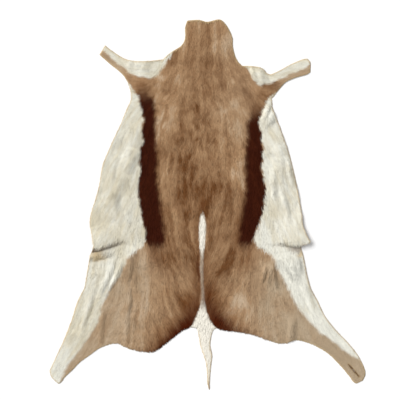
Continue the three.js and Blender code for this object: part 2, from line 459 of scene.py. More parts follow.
@dataclass
class Drape:
    """How the skin lies: main folds, small creases and a slight unevenness."""

    folds: tuple[Fold, ...] = (
        Fold("left flank tuck", -402, -142, -256, -96, 14, 21, 8, 60),
        Fold("left tuck underside", -396, -170, -284, -136, 7, 17),
        Fold("right flank tuck", 372, -112, 206, -100, 17, 22, 10, 90),
        Fold("right flank pucker", 246, -152, 268, -226, 8, 22),
        Fold("right thigh crease", 196, -166, 178, -236, 6, 22),
        Fold("left thigh crease, upper", -230, -140, -232, -236, 7, 30),
        Fold("left thigh crease, lower", -232, -236, -238, -400, 6, 28),
        Fold("left flank crease, upper", -216, 232, -215, 170, 6, 30),
        Fold("left flank crease, middle", -215, 170, -244, 104, 8, 32),
        Fold("left flank crease, lower", -244, 104, -298, -2, 6, 32),
        Fold("right flank wave", 214, 196, 222, 46, 6, 34),
        Fold("right shoulder crease", 176, 248, 200, 272, 7, 26),
        Fold("left chest wave", -184, 440, -186, 400, 6, 26),
        Fold("right chest wave", 152, 412, 164, 376, 6, 26),
    )
    creases: tuple[Fold, ...] = (
        Fold("right flank furrow", 236, 150, 262, 40, 5.1, 13),
        Fold("right flank edge furrow", 262, 70, 284, -20, 4.4, 10),
        Fold("right belly furrow", 220, 60, 246, -60, 4.8, 13),
        Fold("right belly edge furrow", 268, 0, 290, -70, 4.4, 11),
        Fold("right flank hollow", 190, 120, 206, 0, 4.1, 14),
        Fold("left flank furrow", -262, 150, -304, 40, 3.6, 14),
        Fold("left belly furrow", -282, 60, -262, -20, 3.0, 15),
        Fold("left belly hollow", -236, 30, -226, -70, 2.2, 14),
        Fold("left hip furrow", -272, -150, -330, -290, 5.1, 14),
        Fold("left hip hollow", -250, -150, -300, -270, 4.4, 12),
        Fold("left leg furrow", -336, -230, -380, -400, 4.4, 13),
        Fold("right hip furrow", 218, -150, 256, -230, 7, 9),
        Fold("right hip hollow", 262, -140, 280, -210, 7, 9),
        Fold("right leg furrow", 270, -220, 340, -340, 4.1, 13),
        Fold("right thigh pucker", 178, -176, 166, -238, 7.5, 8),
        Fold("right thigh fold", 196, -186, 212, -250, 6.5, 9),
        Fold("left thigh trough", -222, -140, -234, -430, -5.5, 10),
        Fold("left hem ripple", -316, -420, -312, -290, 5.1, 13),
        Fold("right hem ripple", 250, -430, 256, -330, 5.1, 16),
        Fold("left chest furrow", -206, 444, -208, 404, 3.6, 15),
        Fold("left chest hollow", -234, 440, -226, 404, 2.6, 13),
        Fold("right chest furrow", 128, 408, 140, 372, 4.8, 11),
        Fold("right armpit furrow", 164, 250, 186, 300, 5.1, 11),
    )
    sways: tuple[Cloud, ...] = (Cloud(55 * MM, 61, 6 * MM), Cloud(55 * MM, 62, 6 * MM))
    ripple: float = 1.3 * MM
    broad_ripple: Cloud = Cloud(55 * MM, 5)
    fine_ripple: Cloud = Cloud(0.45 * 55 * MM, 6, 0.25 * 1.3 * MM)
    rounds: int = 12

    def lift(self, places: Array) -> Array:
        """Height of the skin's underside over the floor.

        Args:
            places: Plan places in metres, before the folds lean.

        Returns:
            The height in metres, never below the floor.
        """
        height = np.zeros(len(places))
        for fold in self.folds:
            height = np.maximum(height, fold.height * MM * fold.share(places))
        sway = np.column_stack([cloud.at(places) for cloud in self.sways])
        for crease in self.creases:
            height = height + crease.height * MM * crease.share(places + sway)
        height = height + self.ripple * smooth(self.broad_ripple.at(places))
        return np.maximum(height + self.fine_ripple.at(places), 0.0)

    def lean(self, places: Array) -> Array:
        """How far each place is carried towards the tail by a leaning fold.

        Args:
            places: Plan places in metres, before the folds lean.

        Returns:
            The distance in metres.
        """
        shift = np.zeros(len(places))
        for fold in self.folds:
            shift = np.maximum(shift, fold.lean * MM * fold.share(places))
        return shift

    def unlean(self, places: Array) -> Array:
        """Places that the leaning folds would carry to the given ones.

        Args:
            places: Plan places in metres, after the folds lean.

        Returns:
            The places before they lean.
        """
        before = places.copy()
        for _ in range(self.rounds):
            before[:, 1] = places[:, 1] + self.lean(before)
        return before


@dataclass(frozen=True)
class HairGuide:
    """How the hair lies at one place: direction, length in mm and how far it is ruffled, in radians."""

    name: str
    x: float
    y: float
    to_x: float
    to_y: float
    length: float
    ruffle: float = 0.1


@dataclass
class HairLie:
    """The direction and length of the hair over the hide."""

    guides: tuple[HairGuide, ...] = (
        HairGuide("neck", 2, 494, 0.00, -1.00, 14, 0.15),
        HairGuide("neck left", -52, 488, -0.12, -1.00, 13),
        HairGuide("neck right", 56, 488, 0.12, -1.00, 13),
        HairGuide("left shoulder", -128, 374, -0.35, -1.00, 14, 0.35),
        HairGuide("right shoulder", 98, 356, 0.35, -1.00, 14, 0.40),
        HairGuide("left foreleg", -268, 428, -0.80, 0.60, 7),
        HairGuide("left elbow", -202, 392, -0.80, 0.10, 10),
        HairGuide("right foreleg", 254, 400, 0.95, 0.30, 7),
        HairGuide("right elbow", 176, 368, 0.80, -0.20, 10),
        HairGuide("spine", -16, 224, 0.00, -1.00, 17, 0.45),
        HairGuide("back left", -128, 164, -0.12, -1.00, 17, 0.20),
        HairGuide("back right", 86, 164, 0.12, -1.00, 17, 0.20),
        HairGuide("left flank", -256, 134, -0.50, -1.00, 16),
        HairGuide("left belly", -298, -22, -0.55, -1.00, 17),
        HairGuide("right flank", 212, 134, 0.50, -1.00, 16),
        HairGuide("right belly", 248, -22, 0.55, -1.00, 17),
        HairGuide("loin left", -82, -46, 0.12, -1.00, 18, 0.20),
        HairGuide("loin right", 52, -46, -0.12, -1.00, 18, 0.15),
        HairGuide("croup left", -60, -196, 0.55, -0.85, 19, 0.15),
        HairGuide("croup right", 30, -196, -0.58, -0.82, 19, 0.15),
        HairGuide("crest side left, upper", -54, -136, 0.40, -0.92, 18, 0.15),
        HairGuide("crest side right, upper", 28, -136, -0.42, -0.90, 18, 0.15),
        HairGuide("crest side left, lower", -50, -262, 0.62, -0.78, 19),
        HairGuide("crest side right, lower", 24, -256, -0.62, -0.78, 19),
        HairGuide("rump left", -84, -340, 0.60, -0.80, 20),
        HairGuide("rump right", 56, -316, -0.55, -0.84, 20),
        HairGuide("left buttock", -140, -396, 0.25, -1.00, 18),
        HairGuide("right buttock", 120, -350, -0.10, -1.00, 18),
        HairGuide("left thigh", -172, -286, 0.00, -1.00, 16, 0.15),
        HairGuide("left haunch", -286, -332, -0.50, -1.00, 14),
        HairGuide("left shank", -382, -436, -0.62, -0.78, 10),
        HairGuide("left hock", -442, -502, -0.60, -0.80, 8),
        HairGuide("right thigh", 146, -286, 0.05, -1.00, 16, 0.15),
        HairGuide("right haunch", 266, -340, 0.55, -1.00, 14),
        HairGuide("right shank", 382, -436, 0.72, -0.70, 10),
        HairGuide("right hock", 452, -506, 0.60, -0.80, 8),
        HairGuide("crest", -15, -92, 0.00, -1.00, 22),
        HairGuide("crest middle", -16, -190, 0.00, -1.00, 20),
        HairGuide("crest end", -15, -286, 0.00, -1.00, 20),
        HairGuide("tail", -8, -422, 0.12, -1.00, 18),
        HairGuide("tail tip", 3, -526, 0.04, -1.00, 16),
    )
    tufts: tuple[Cloud, ...] = (Cloud(30 * MM, 33), Cloud(15 * MM, 34))
    soften: float = 12 * MM
    streak_spread: float = 0.6

    def weights(self, places: Array) -> Array:
        """Share of each guide at each place, more for a nearer one."""
        return nearness(places, self.guides, self.soften)

    def flow(self, places: Array) -> Array:
        """Direction of the hair in plan, ruffled in tufts.

        Args:
            places: Plan places in metres.

        Returns:
            A unit vector for each place.
        """
        flow = self.weights(places) @ np.array([(g.to_x, g.to_y) for g in self.guides])
        flow /= np.linalg.norm(flow, axis=1, keepdims=True)
        turn = sum(self.ruffle(places) * tuft.at(places) for tuft in self.tufts)
        across, along = np.cos(turn), np.sin(turn)
        x, y = flow.T
        return np.column_stack([x * across - y * along, x * along + y * across])

    def ruffle(self, places: Array) -> Array:
        """How far the hair is ruffled at each place, in radians."""
        return self.weights(places) @ np.array([g.ruffle for g in self.guides])

    def length(self, places: Array) -> Array:
        """Length of the hair in metres at each place."""
        return self.weights(places) @ np.array([g.length * MM for g in self.guides])

    def streaks(self, places: Array, streak: Streak) -> Array:
        """Noise drawn out along the hair.

        Args:
            places: Plan places in metres.
            streak: The streaks' width, reach, seed and share.

        Returns:
            Noise of about minus the share to the share at each place.
        """
        flow = self.flow(places)
        total = np.zeros(len(places))
        for step in range(-streak.steps, streak.steps + 1):
            total += lumps(places + flow * (step * streak.size), streak.size, streak.seed)
        return streak.share * (total / math.sqrt(2 * streak.steps + 1) / self.streak_spread)


@dataclass(frozen=True)
class StripeRow:
    """One section of a dark side stripe, in millimetres, and whether the white begins at its outer edge."""

    y: float
    outer: float
    inner: float
    meets_white: bool = True


@dataclass(frozen=True)
class EdgeRow:
    """One section where the white of a flank or leg meets the tan, in millimetres."""

    y: float
    x: float


@dataclass(frozen=True)
class ChestRow:
    """One place on the lower limit of the white chest, in millimetres."""

    x: float
    y: float


@dataclass(frozen=True)
class CrestRow:
    """One section of the white crest and tail, in millimetres."""

    y: float
    left: float
    right: float


@dataclass(frozen=True)
class ToneSpot:
    """How light the tan is at one place of the coat, from 0, dark, to 1, and how ashen."""

    name: str
    x: float
    y: float
    tone: float
    ash: float = 0.0


@dataclass(frozen=True)
class CreamTintAndShadeSpot:
    """How much darker and creamier the white is at one place, from 0 to 1: partly the hair's own cream
    tint, partly painted shade.
    """

    name: str
    x: float
    y: float
    soil: float


@dataclass(frozen=True)
class DarkRow:
    """One place on a run of darkness, dark brown hair and painted shadow alike, with the distance at which
    it fades out, in millimetres.
    """

    x: float
    y: float
    reach: float
    strength: float


@dataclass(frozen=True)
class WidthRow:
    """A width that changes along the hide, at one place along Y, in millimetres."""

    y: float
    width: float


@dataclass(frozen=True)
class ShareRow:
    """A share that changes along the hide, at one place along Y in millimetres."""

    y: float
    share: float


@dataclass(frozen=True)
class TuckSpot:
    """One patch of thin yellowish hair in a tuck, in millimetres."""

    x: float
    y: float
    radius: float


class Side(Enum):
    """A side of the animal, with the sign that points outwards along X."""

    LEFT = -1
    RIGHT = 1


@dataclass
class Coat:
    """The zones of colour in the coat."""

    lie: HairLie
    stripes: dict[Side, tuple[StripeRow, ...]] = field(default_factory=lambda: {
        Side.LEFT: (
            StripeRow(338, -206, -172, False),
            StripeRow(314, -200, -159, False),
            StripeRow(278, -194, -158, False),
            StripeRow(260, -188, -159),
            StripeRow(226, -196, -158),
            StripeRow(202, -192, -156),
            StripeRow(154, -202, -154),
            StripeRow(110, -198, -154),
            StripeRow(80, -206, -153),
            StripeRow(56, -207, -152),
            StripeRow(-2, -202, -142),
            StripeRow(-62, -188, -134),
            StripeRow(-106, -182, -134, False),
            StripeRow(-128, -172, -142, False),
        ),
        Side.RIGHT: (
            StripeRow(308, 172, 136, False),
            StripeRow(278, 165, 128, False),
            StripeRow(238, 152, 123, False),
            StripeRow(220, 160, 122),
            StripeRow(140, 162, 117),
            StripeRow(116, 158, 117),
            StripeRow(68, 172, 118),
            StripeRow(28, 170, 116),
            StripeRow(-16, 164, 108),
            StripeRow(-52, 153, 104),
            StripeRow(-92, 140, 98, False),
            StripeRow(-124, 128, 100, False),
        ),
    })
    flanks: dict[Side, tuple[EdgeRow, ...]] = field(default_factory=lambda: {
        Side.LEFT: (
            EdgeRow(380, -248),
            EdgeRow(356, -224),
            EdgeRow(322, -202),
            EdgeRow(286, -194),
            EdgeRow(-98, -183),
            EdgeRow(-116, -194),
            EdgeRow(-134, -220),
            EdgeRow(-158, -242),
            EdgeRow(-200, -262),
            EdgeRow(-250, -292),
            EdgeRow(-296, -314),
            EdgeRow(-346, -322),
            EdgeRow(-381, -348),
            EdgeRow(-406, -362),
            EdgeRow(-436, -384),
            EdgeRow(-490, -424),
            EdgeRow(-536, -440),
        ),
        Side.RIGHT: (
            EdgeRow(338, 206),
            EdgeRow(318, 178),
            EdgeRow(288, 162),
            EdgeRow(254, 153),
            EdgeRow(-98, 140),
            EdgeRow(-118, 152),
            EdgeRow(-134, 178),
            EdgeRow(-148, 196),
            EdgeRow(-182, 208),
            EdgeRow(-208, 222),
            EdgeRow(-248, 243),
            EdgeRow(-286, 260),
            EdgeRow(-322, 284),
            EdgeRow(-356, 310),
            EdgeRow(-382, 340),
            EdgeRow(-410, 376),
            EdgeRow(-442, 416),
            EdgeRow(-468, 462),
            EdgeRow(-484, 520),
        ),
    })
    chest: dict[Side, tuple[ChestRow, ...]] = field(default_factory=lambda: {
        Side.LEFT: (
            ChestRow(-324, 470),
            ChestRow(-300, 450),
            ChestRow(-277, 430),
            ChestRow(-252, 411),
            ChestRow(-229, 392),
            ChestRow(-194, 383),
            ChestRow(-168, 376),
            ChestRow(-152, 388),
            ChestRow(-130, 420),
            ChestRow(-110, 446),
            ChestRow(-98, 466),
        ),
        Side.RIGHT: (
            ChestRow(110, 422),
            ChestRow(124, 398),
            ChestRow(136, 374),
            ChestRow(146, 361),
            ChestRow(164, 360),
            ChestRow(196, 367),
            ChestRow(235, 386),
            ChestRow(273, 401),
            ChestRow(306, 422),
        ),
    })
    crest: tuple[CrestRow, ...] = (
        CrestRow(-14, -15, -14),
        CrestRow(-34, -21, -9),
        CrestRow(-62, -25, -5),
        CrestRow(-92, -24, -6),
        CrestRow(-122, -22, -9),
        CrestRow(-152, -22, -12),
        CrestRow(-196, -22, -13),
        CrestRow(-226, -21, -13),
        CrestRow(-256, -19, -10),
        CrestRow(-286, -19, -9),
        CrestRow(-316, -26, -4),
        CrestRow(-340, -38, 6),
        CrestRow(-368, -52, 26),
        CrestRow(-382, -40, 26),
        CrestRow(-422, -34, 22),
        CrestRow(-554, -14, 22),
    )
    tones: tuple[ToneSpot, ...] = (
        ToneSpot("neck edge", 2, 542, 0.45),
        ToneSpot("neck middle", 2, 488, 0.50),
        ToneSpot("neck left", -52, 494, 0.48),
        ToneSpot("neck right", 56, 478, 0.66, 0.25),
        ToneSpot("left shoulder", -128, 380, 0.42),
        ToneSpot("right shoulder", 98, 350, 0.33, 0.15),
        ToneSpot("withers", 2, 350, 0.28),
        ToneSpot("back middle", -8, 230, 0.25),
        ToneSpot("back left", -128, 248, 0.68),
        ToneSpot("back right", 86, 238, 0.62, 0.25),
        ToneSpot("spine left", -58, 148, 0.14),
        ToneSpot("spine right", 20, 134, 0.34),
        ToneSpot("lower back left", -124, 98, 0.44),
        ToneSpot("lower back right", 86, 98, 0.60),
        ToneSpot("saddle", -38, 52, 0.10),
        ToneSpot("loin left", -98, -32, 0.37),
        ToneSpot("loin right", 62, -32, 0.31),
        ToneSpot("crest left", -46, -100, 0.25),
        ToneSpot("crest right", 16, -100, 0.25),
        ToneSpot("croup left", -112, -152, 0.03),
        ToneSpot("croup right", 82, -160, 0.24),
        ToneSpot("left thigh inner", -124, -256, 0.27),
        ToneSpot("left thigh", -182, -292, 0.58, 0.20),
        ToneSpot("left haunch", -224, -176, 0.54, 0.50),
        # A darker tone here paints the shade beside the left thigh's trough.
        ToneSpot("left thigh hollow", -206, -240, 0.46, 0.50),
        ToneSpot("left thigh light", -160, -250, 0.62, 0.2),
        ToneSpot("left thigh outer", -278, -340, 0.64, 0.50),
        ToneSpot("right thigh inner", 106, -280, 0.92),
        ToneSpot("right thigh streak", 138, -262, 0.34, 0.30),
        ToneSpot("right thigh", 176, -292, 0.62, 0.75),
        ToneSpot("right haunch", 182, -172, 0.68, 0.60),
        ToneSpot("right thigh outer", 254, -362, 0.70, 0.80),
        ToneSpot("left shank", -368, -452, 0.62, 0.60),
        ToneSpot("right shank", 368, -436, 0.46, 0.85),
        ToneSpot("right hock", 446, -506, 0.54, 0.85),
        ToneSpot("left foreleg", -274, 422, 0.50, 0.60),
        ToneSpot("left armpit", -202, 356, 0.45),
        ToneSpot("right foreleg", 254, 386, 0.56, 0.50),
        ToneSpot("right armpit", 170, 338, 0.19),
        ToneSpot("croup right, inner", 40, -176, 0.22),
        ToneSpot("croup right, outer", 116, -152, 0.20),
        ToneSpot("rump left upper", -62, -280, 0.18),
        ToneSpot("rump right upper", 32, -270, 0.16),
        ToneSpot("rump left lower", -124, -370, 0.34),
        ToneSpot("rump right lower", 76, -336, 0.52),
        ToneSpot("left neck base", -93, 432, 0.20),
        ToneSpot("neck spine", 2, 430, 0.24),
        ToneSpot("left shoulder patch", -100, 330, 0.29),
        ToneSpot("left of withers", -60, 290, 0.28),
        ToneSpot("right of withers", 60, 290, 0.56, 0.15),
        ToneSpot("spine middle", 16, 206, 0.16),
        ToneSpot("back streak left", -60, 220, 0.12),
        ToneSpot("back streak right", 40, 200, 0.44),
        ToneSpot("lower back middle", 20, 60, 0.21),
        ToneSpot("loin middle", -50, -20, 0.14),
        ToneSpot("right haunch upper", 165, -145, 0.42, 0.15),
        ToneSpot("right thigh stain", 210, -284, 0.40, 0.40),
        ToneSpot("right haunch outer", 210, -240, 0.72, 0.80),
        ToneSpot("left haunch outer", -270, -250, 0.66, 0.60),
    )
    # How much darker, creamier white each place has: partly the hair's own cream tint, partly painted
    # shade.
    cream_tint_and_shade_spots: tuple[CreamTintAndShadeSpot, ...] = (
        CreamTintAndShadeSpot("left chest", -190, 420, 0.45),
        CreamTintAndShadeSpot("right chest", 160, 390, 0.60),
        CreamTintAndShadeSpot("left flank", -250, 140, 0.5),
        CreamTintAndShadeSpot("left belly", -300, -40, 0.70),
        CreamTintAndShadeSpot("right flank", 215, 140, 0.34),
        CreamTintAndShadeSpot("right belly", 250, -40, 0.50),
        CreamTintAndShadeSpot("left hip", -310, -190, 0.42),
        CreamTintAndShadeSpot("right hip", 280, -200, 0.0),
        CreamTintAndShadeSpot("left leg", -380, -370, 0.72),
        CreamTintAndShadeSpot("left foot", -440, -500, 0.2),
        CreamTintAndShadeSpot("right leg", 350, -370, 0.05),
    )
    darks: tuple[tuple[DarkRow, ...], ...] = (
        (
            DarkRow(-24, -130, 16, 0.30),
            DarkRow(-26, -180, 34, 0.40),
            DarkRow(-30, -250, 50, 0.60),
            DarkRow(-40, -305, 64, 0.85),
            DarkRow(-62, -352, 76, 1.00),
            DarkRow(-96, -394, 82, 1.00),
            DarkRow(-138, -434, 68, 1.00),
            DarkRow(-178, -448, 46, 0.75),
            DarkRow(-236, -440, 22, 0.35),
        ),
        (
            DarkRow(-8, -130, 16, 0.25),
            DarkRow(-6, -180, 36, 0.40),
            DarkRow(-2, -240, 54, 0.65),
            DarkRow(8, -296, 68, 0.85),
            DarkRow(30, -342, 76, 1.00),
            DarkRow(66, -376, 60, 0.95),
            DarkRow(112, -390, 46, 0.70),
            DarkRow(180, -412, 22, 0.35),
        ),
        # Painted shadow along the left edge of the crest.
        (
            DarkRow(-30, -96, 7, 0.0),
            DarkRow(-30, -150, 10, 0.8),
            DarkRow(-26, -226, 10, 0.8),
            DarkRow(-24, -262, 8, 0.0),
        ),
        (DarkRow(-4, -190, 8, 0.0), DarkRow(-4, -226, 11, 0.8), DarkRow(-4, -262, 10, 0.5)),
        (DarkRow(-160, -112, 34, 0.50), DarkRow(-140, -200, 40, 0.05)),
        (DarkRow(122, -116, 30, 0.40), DarkRow(118, -186, 34, 0.05)),
        (DarkRow(-15, 60, 10, 0.0), DarkRow(-15, 6, 20, 0.55), DarkRow(-14, -40, 12, 0.3)),
        (DarkRow(4, -560, 18, 0.7), DarkRow(3, -520, 10, 0.0)),
    )
    # Runs of painted shadow: under the lips of the left and right tucks, and in the slit.
    painted_shadow_runs: tuple[tuple[DarkRow, ...], ...] = (
        (
            DarkRow(-352, -142, 8, 0.4),
            DarkRow(-338, -135, 12, 0.75),
            DarkRow(-300, -124, 13, 0.75),
            DarkRow(-264, -108, 10, 0.45),
            DarkRow(-240, -100, 6, 0.0),
        ),
        (
            DarkRow(192, -120, 5, 0.0),
            DarkRow(212, -114, 7, 0.3),
            DarkRow(238, -120, 10, 0.5),
            DarkRow(262, -131, 11, 0.6),
            DarkRow(288, -131, 9, 0.5),
            DarkRow(308, -121, 5, 0.4),
        ),
        (DarkRow(421, -478, 4, 1.0), DarkRow(455, -516, 4, 1.0)),
    )
    halo: tuple[WidthRow, ...] = (
        WidthRow(250, 22),
        WidthRow(60, 34),
        WidthRow(-30, 50),
        WidthRow(-110, 62),
    )
    flank_softness: tuple[WidthRow, ...] = (WidthRow(-110, 6), WidthRow(-150, 13))
    crest_fade: tuple[ShareRow, ...] = (
        ShareRow(-120, 1.0),
        ShareRow(-160, 0.3),
        ShareRow(-280, 0.22),
        ShareRow(-310, 1.0),
        ShareRow(-518, 1.0),
        ShareRow(-545, 0.1),
    )
    tucks: tuple[TuckSpot, ...] = (
        TuckSpot(-326, -150, 34),
        TuckSpot(288, -140, 18),
        TuckSpot(276, -146, 14),
    )
    stripe_lead: dict[Side, float] = field(default_factory=lambda: {Side.LEFT: 0.5, Side.RIGHT: 0.2})
    stripe_softness: float = 6 * MM
    inner_fade: float = 20 * MM
    inner_lead: float = 0.7
    end_fade: float = 44 * MM
    end_lead: float = 0.3
    top_stretch: float = 1.7
    halo_fade: float = 70 * MM
    halo_share: float = 0.75
    flank_top: float = 8 * MM
    chest_softness: float = 7 * MM
    crest_softness: float = 4 * MM
    crest_top: float = 10 * MM
    crest_lead: float = 0.6
    crest_side: float = 20 * MM
    crest_overlap: float = 2 * MM
    run_lead: float = 1.05
    spot_soften: float = 20 * MM
    contrast: float = 1.15
    edge_cream: float = 0.75
    edge_width: float = 5 * MM
    tuck_cream: float = 0.8
    tuck_lead: float = 1.2
    tuck_flatness: float = 1.8
    stripe_edge: Cloud = Cloud(9 * MM, 11, 4 * MM)
    white_edge: Cloud = Cloud(9 * MM, 12, 4 * MM)
    painted_shadow_edge: Cloud = Cloud(8 * MM, 51, MM)
    mottle: Cloud = Cloud(38 * MM, 23, 0.05)
    tufts: Cloud = Cloud(15 * MM, 24, 0.35)
    cream_tint_and_shade_clouds: tuple[Cloud, ...] = (Cloud(46 * MM, 41, 0.2), Cloud(21 * MM, 42, 0.12))
    dark_edge: Streak = Streak(5 * MM, 5, 13, 4 * MM)
    tone_streaks: tuple[Streak, ...] = (Streak(5.5 * MM, 8, 21, 0.07), Streak(13 * MM, 4, 22, 0.08))
    cream_tint_and_shade_streak: Streak = Streak(6 * MM, 5, 43, 0.16)

    @staticmethod
    def along(rows: Iterable[Any], at: str, value: str, places: Array, unit: float = MM) -> Array:
        """Reads one column of a table at places between its rows.

        Args:
            rows: The table's rows.
            at: The column that the places are measured along.
            value: The column to read.
            places: Where to read it, in metres.
            unit: The column's unit.

        Returns:
            The column's value at each place.
        """
        pairs = sorted((getattr(row, at) * MM, getattr(row, value) * unit) for row in rows)
        return np.interp(places, *zip(*pairs))

    def stripe(self, places: Array, inner_fade: Array | float, end_fade: float) -> Array:
        """Share of dark stripe hair: a crisp outer edge, a soft inner one and faded ends.

        Args:
            places: Plan places in metres.
            inner_fade: Width over which the inner edge fades.
            end_fade: Length over which both ends fade.

        Returns:
            The share at each place.
        """
        x, y = places[:, 0], places[:, 1]
        jitter = self.stripe_edge.at(places)
        share = np.zeros(len(places))
        for side, rows in self.stripes.items():
            outer = self.along(rows, "y", "outer", y)
            inner = self.along(rows, "y", "inner", y)
            outside = crossing((outer - x) * side.value + jitter, self.stripe_softness)
            inside = crossing((x - inner) * side.value + jitter, inner_fade, self.inner_lead)
            top, bottom = max(r.y for r in rows) * MM, min(r.y for r in rows) * MM
            starts = crossing(top - y, self.top_stretch * end_fade, self.stripe_lead[side])
            ends = crossing(y - bottom, end_fade, self.end_lead)
            share = np.maximum(share, outside * inside * starts * ends)
        return share

    def flank_edge(self, side: Side) -> list[EdgeRow]:
        """Sections of one flank's edge: its own, and those where the white meets the stripe."""
        met = [EdgeRow(row.y, row.outer) for row in self.stripes[side] if row.meets_white]
        return [*self.flanks[side], *met]

    def white(self, places: Array) -> Array:
        """Share of white hair on flanks, legs, chest, crest and tail.

        Args:
            places: Plan places in metres.

        Returns:
            The share at each place.
        """
        x, y = places[:, 0], places[:, 1]
        jitter = self.white_edge.at(places)
        softness = self.along(self.flank_softness, "y", "width", y)
        share = self.crest_share(places)
        for side in Side:
            rows = self.flank_edge(side)
            limit = self.along(rows, "y", "x", y)
            flank = crossing((x - limit) * side.value + jitter, softness)
            top = max(r.y for r in rows) * MM
            share = np.maximum(share, flank * crossing(top - y, self.flank_top))
        for rows in self.chest.values():
            limit = self.along(rows, "x", "y", x)
            within = (x > rows[0].x * MM) & (x < rows[-1].x * MM)
            share = np.maximum(share, within * crossing(y - limit + jitter, self.chest_softness))
        return share

    def within_crest(self, places: Array) -> tuple[Array, Array]:
        """How far each place lies inside the left and the right edge of the crest, in metres."""
        left, right = (self.along(self.crest, "y", edge, places[:, 1]) for edge in ("left", "right"))
        return places[:, 0] - left, right - places[:, 0]

    def beside_crest(self, places: Array) -> Array:
        """How near each place lies beside the crest's edge.

        Args:
            places: Plan places in metres.

        Returns:
            0 for a place far away or within the crest, up to 1 at its edge.
        """
        depth = np.minimum(*self.within_crest(places))
        begins = crossing(self.crest[0].y * MM - places[:, 1], self.crest_side, 0.0)
        near = crossing(depth, self.crest_side, 1.0)
        return np.where(depth < self.crest_overlap, near, 0.0) * begins

    def crest_share(self, places: Array) -> Array:
        """Share of the long white hair of the crest and the tail.

        Args:
            places: Plan places in metres.

        Returns:
            The share at each place.
        """
        left, right = (crossing(depth, self.crest_softness) for depth in self.within_crest(places))
        begins = crossing(self.crest[0].y * MM - places[:, 1], self.crest_top, self.crest_lead)
        return left * right * begins * self.along(self.crest_fade, "y", "share", places[:, 1], 1.0)

    def runs_share(self, runs: Iterable[tuple[DarkRow, ...]], places: Array, warp: Array) -> Array:
        """Strength of some dark runs at each place.

        Args:
            runs: The runs, each a row of places joined in order.
            places: Plan places in metres.
            warp: How far the edge of a run wanders at each place, in metres.

        Returns:
            The strongest share of any run, from 0 to 1.
        """
        share = np.zeros(len(places))
        for run in runs:
            for near, far in zip(run, run[1:]):
                start = np.array([near.x, near.y]) * MM
                way = np.array([far.x, far.y]) * MM - start
                part = np.clip((places - start) @ way / (way @ way), 0.0, 1.0)
                away = np.hypot(*(places - start - part[:, None] * way).T) + warp
                reach = (near.reach + part * (far.reach - near.reach)) * MM
                strength = near.strength + part * (far.strength - near.strength)
                share = np.maximum(share, strength * crossing(-away, reach, self.run_lead))
        return share

    def dark(self, places: Array) -> Array:
        """Share of dark brown hair round the rump, inside the stripes and at the tail's tip, and of painted
        shadow along the crest's left edge.

        Args:
            places: Plan places in metres.

        Returns:
            The share at each place.
        """
        share = self.runs_share(self.darks, places, self.lie.streaks(places, self.dark_edge))
        halo = self.along(self.halo, "y", "width", places[:, 1])
        return np.maximum(share, self.halo_share * self.stripe(places, halo, self.halo_fade))

    def mark(self, places: Array) -> Array:
        """Share of painted shadow: the dark line under the tucks' lips and in the slit."""
        return self.runs_share(self.painted_shadow_runs, places, self.painted_shadow_edge.at(places))

    def spread_spots(self, spots: Iterable[Any], column: str, places: Array) -> Array:
        """Spreads one column of a table of spots over the hide.

        Args:
            spots: The spots, each with x and y in millimetres.
            column: The column to read.
            places: Plan places in metres.

        Returns:
            The column's value at each place, nearer to that of nearer spots.
        """
        values = np.array([getattr(spot, column) for spot in spots])
        return nearness(places, spots, self.spot_soften) @ values

    def tone(self, places: Array) -> Array:
        """How light the tan is, with streaks along the hair.

        Args:
            places: Plan places in metres.

        Returns:
            The tone at each place, from about 0, dark, to 1.
        """
        base = 0.5 + (self.spread_spots(self.tones, "tone", places) - 0.5) * self.contrast
        streaks = sum(self.lie.streaks(places, streak) for streak in self.tone_streaks)
        return base + streaks + self.mottle.at(places) + self.lie.ruffle(places) * self.tufts.at(places)

    def soil(self, places: Array) -> Array:
        """How much darker and creamier the white is, in soft streaks and clouds: partly the hair's own
        cream tint, partly painted shade.

        Args:
            places: Plan places in metres.

        Returns:
            The share at each place.
        """
        clouds = sum(cloud.at(places) for cloud in self.cream_tint_and_shade_clouds)
        streaks = self.lie.streaks(places, self.cream_tint_and_shade_streak)
        return smooth(self.spread_spots(self.cream_tint_and_shade_spots, "soil", places) + clouds + streaks)

    def cream(self, places: Array, inset: Array) -> Array:
        """Share of thin yellowish hair along a cut edge and in the tucks.

        Args:
            places: Plan places in metres.
            inset: Distance of each place from the cut edge.

        Returns:
            The share at each place.
        """
        share = self.edge_cream * crossing(-inset, self.edge_width, 1.0)
        for tuck in self.tucks:
            across, along = places[:, 0] - tuck.x * MM, places[:, 1] - tuck.y * MM
            away = np.hypot(across, along * self.tuck_flatness)
            share = np.maximum(share, self.tuck_cream * crossing(-away, tuck.radius * MM, self.tuck_lead))
        return share * (1 - self.dark(places))


